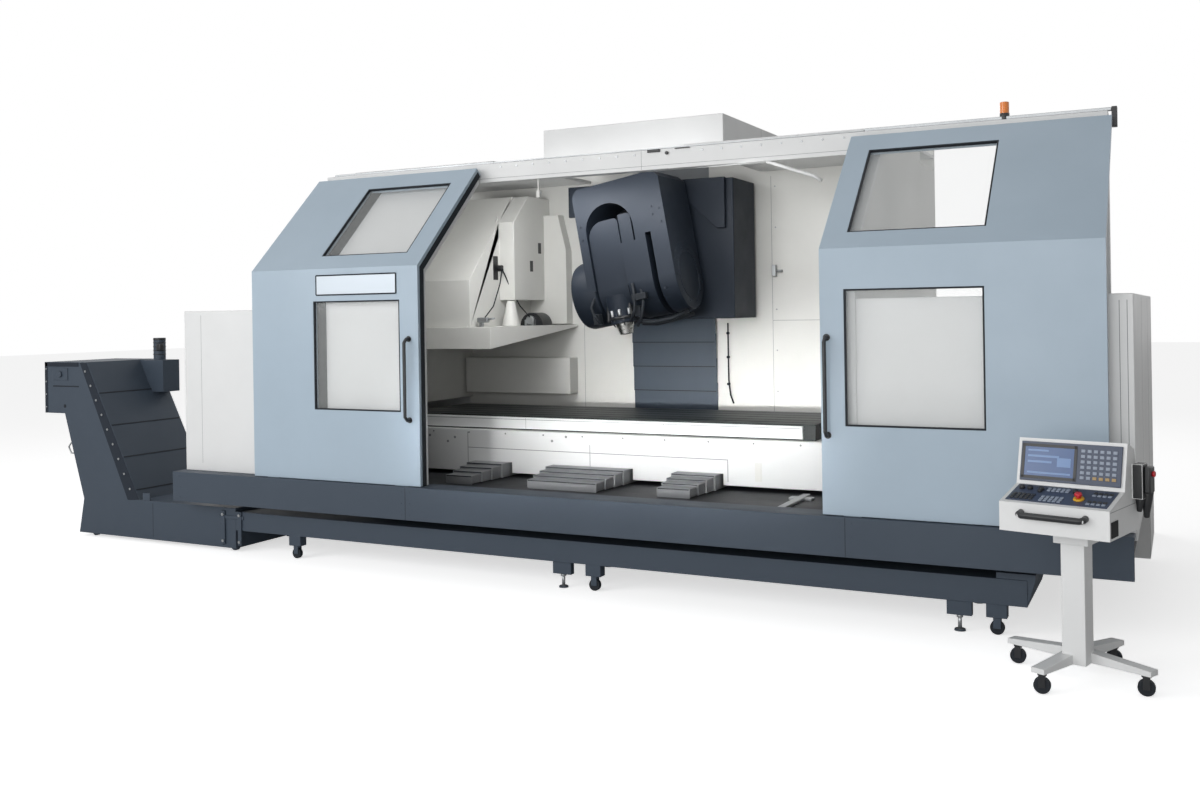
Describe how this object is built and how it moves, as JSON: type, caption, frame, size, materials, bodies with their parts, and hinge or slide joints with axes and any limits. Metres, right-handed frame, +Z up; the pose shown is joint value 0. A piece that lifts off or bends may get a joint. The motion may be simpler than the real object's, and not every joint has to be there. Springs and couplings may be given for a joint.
{
  "type": "five-axis machining center",
  "caption": "Bed machining center with a two-axis tilting spindle head, a long slotted table, telescopic way covers, sliding doors, chip conveyor and operator console",
  "frame": {"origin": "on the floor under the bed's middle pad, below the column's centre line", "axes": "+X to the operator's right along the table, +Y from the doors to the rear, +Z up"},
  "size_m": [10.0716, 5.2667, 3.87],
  "materials": {
    "white_enamel": "semi-gloss white enamel on sheet steel",
    "blue_enamel": "semi-gloss grey-blue enamel on sheet steel",
    "dark_enamel": "dark grey-blue enamel",
    "bed_enamel": "grey enamel on cast iron",
    "head_enamel": "dark grey enamel on castings and sheet",
    "spindle_steel": "ground steel",
    "table_iron": "ground and oiled cast iron",
    "window": "clear safety pane",
    "black_plastic": "black moulded plastic",
    "display": "display and keys",
    "lamp_lens": "orange lens",
    "cover_steel": "bare sheet steel"
  },
  "bodies": {
    "root": {"back_wall": "white_enamel", "bed": "bed_enamel", "centre_way_cover_1": "cover_steel", "column": "bed_enamel", "console_box": "white_enamel", "console_screen": "display", "console_stand": "white_enamel", "conveyor_incline": "dark_enamel", "coolant_trough": "dark_enamel", "floor_pan": "dark_enamel", "front_skirt": "dark_enamel", "gripper_cover": "black_plastic", "head_slat_1": "head_enamel", "header_beam": "white_enamel", "left_bay_wall": "white_enamel", "left_front_panel": "white_enamel", "left_housing": "white_enamel", "left_rear_cabinet": "white_enamel", "left_roof_panel": "white_enamel", "left_way_cover_1": "cover_steel", "right_bay_wall": "white_enamel", "right_front_panel": "white_enamel", "right_housing": "white_enamel", "right_rear_cabinet": "white_enamel", "right_roof_panel": "white_enamel", "right_way_cover_1": "cover_steel", "roof_box": "white_enamel", "signal_lamp": "lamp_lens", "skirt_ledge": "dark_enamel", "tool_changer": "white_enamel", "tool_shelf": "white_enamel", "wall_box": "white_enamel"},
    "left_door": {"left_door": "blue_enamel", "left_door_glass": "window", "left_upper_glass": "window", "left_door_handle": "black_plastic"},
    "right_door": {"right_door": "blue_enamel", "right_door_glass": "window", "right_upper_glass": "window", "right_door_handle": "black_plastic"},
    "saddle": {"saddle": "white_enamel", "left_way_cover_4": "cover_steel", "centre_way_cover_4": "cover_steel", "right_way_cover_4": "cover_steel"},
    "table": {"table": "table_iron", "table_apron": "white_enamel"},
    "way_stage_2": {"left_way_cover_2": "cover_steel", "centre_way_cover_2": "cover_steel", "right_way_cover_2": "cover_steel"},
    "way_stage_3": {"left_way_cover_3": "cover_steel", "centre_way_cover_3": "cover_steel", "right_way_cover_3": "cover_steel"},
    "head": {"head_carriage": "head_enamel", "head_hood": "head_enamel", "head_slat_4": "head_enamel"},
    "slat_2": {"head_slat_2": "head_enamel"},
    "slat_3": {"head_slat_3": "head_enamel"},
    "yoke": {"head_yoke": "head_enamel"},
    "spindle_head": {"spindle_housing": "head_enamel"},
    "spindle": {"spindle_nose": "spindle_steel"}
  },
  "joints": [
    {"name": "left_door_slide", "type": "slide", "parent": "root", "child": "left_door", "axis": [1, 0, 0], "range_m": [0, 1.655]},
    {"name": "right_door_slide", "type": "slide", "parent": "root", "child": "right_door", "axis": [-1, 0, 0], "range_m": [0, 1.655]},
    {"name": "saddle_slide", "type": "slide", "parent": "root", "child": "saddle", "axis": [0, 1, 0], "range_m": [-0.4, 0.51]},
    {"name": "table_slide", "type": "slide", "parent": "saddle", "child": "table", "axis": [1, 0, 0], "range_m": [-1.3, 1.7]},
    {"name": "way_stage_2_slide", "type": "slide", "parent": "root", "child": "way_stage_2", "axis": [0, 1, 0], "range_m": [-0.13343, 0.1701]},
    {"name": "way_stage_3_slide", "type": "slide", "parent": "root", "child": "way_stage_3", "axis": [0, 1, 0], "range_m": [-0.26677, 0.3401]},
    {"name": "head_slide", "type": "slide", "parent": "root", "child": "head", "axis": [0, 0, 1], "range_m": [-0.62, 0.1]},
    {"name": "slat_2_slide", "type": "slide", "parent": "root", "child": "slat_2", "axis": [0, 0, 1], "range_m": [-0.20677, 0.03343]},
    {"name": "slat_3_slide", "type": "slide", "parent": "root", "child": "slat_3", "axis": [0, 0, 1], "range_m": [-0.41343, 0.06677]},
    {"name": "yoke_swivel", "type": "hinge", "parent": "head", "child": "yoke", "pos_m": [0, -0.01, 2.85], "axis": [0, -1, 0], "range_deg": [-40, 20]},
    {"name": "spindle_tilt", "type": "hinge", "parent": "yoke", "child": "spindle_head", "pos_m": [0.08682, -0.32, 2.3576], "axis": [0.9848, 0, 0.1736], "range_deg": [-25, 25]},
    {"name": "spindle_spin", "type": "hinge", "parent": "spindle_head", "child": "spindle", "pos_m": [0.03417, -0.48, 2.02277], "axis": [-0.1736, 0, 0.9848], "continuous": true}
  ],
  "couplings": [
    {"joint": "way_stage_2_slide", "follows": "saddle_slide", "ratio": 0.33333},
    {"joint": "way_stage_3_slide", "follows": "saddle_slide", "ratio": 0.66667},
    {"joint": "slat_2_slide", "follows": "head_slide", "ratio": 0.33333},
    {"joint": "slat_3_slide", "follows": "head_slide", "ratio": 0.66667}
  ]
}
